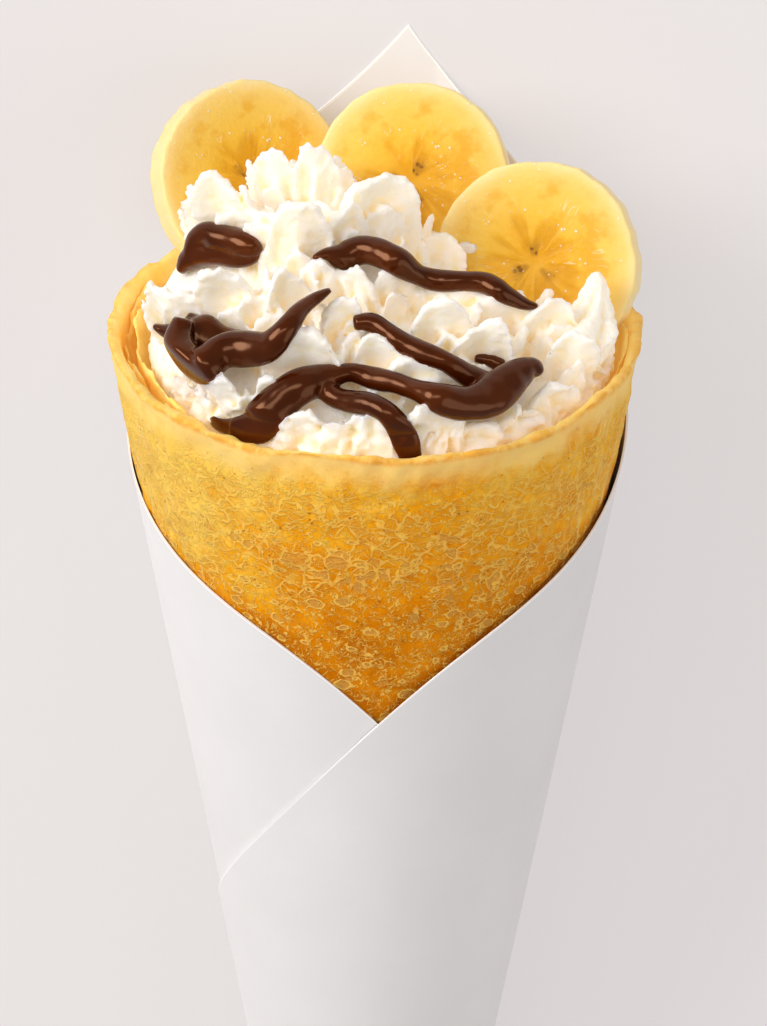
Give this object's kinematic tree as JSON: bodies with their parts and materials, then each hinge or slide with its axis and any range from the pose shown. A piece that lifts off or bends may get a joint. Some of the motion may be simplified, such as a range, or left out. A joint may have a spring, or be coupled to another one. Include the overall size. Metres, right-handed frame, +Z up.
{
  "type": "banana crepe",
  "caption": "Rolled crepe in a white paper cone, filled with whipped cream, banana slices and chocolate sauce, lying on its back.",
  "frame": {"origin": "middle of the bounding box on the surface that the cone lies on", "axes": "+Y from the cone's point to its mouth, +Z up, away from the surface it lies on"},
  "size_m": [0.0811, 0.2656, 0.0804],
  "materials": {
    "paper": "smooth matt white wrapping paper",
    "crepe": "golden browned crepe skin with pale rims of small bubbles",
    "cream": "soft satin whipped cream",
    "chocolate": "glossy dark chocolate sauce",
    "banana": "moist cut banana, paler at the rim"
  },
  "bodies": {
    "root": {"paper_cone": "paper", "crepe": "crepe", "whipped_cream": "cream", "banana_slice_left": "banana", "banana_slice_middle": "banana", "banana_slice_right": "banana"}
  },
  "joints": []
}
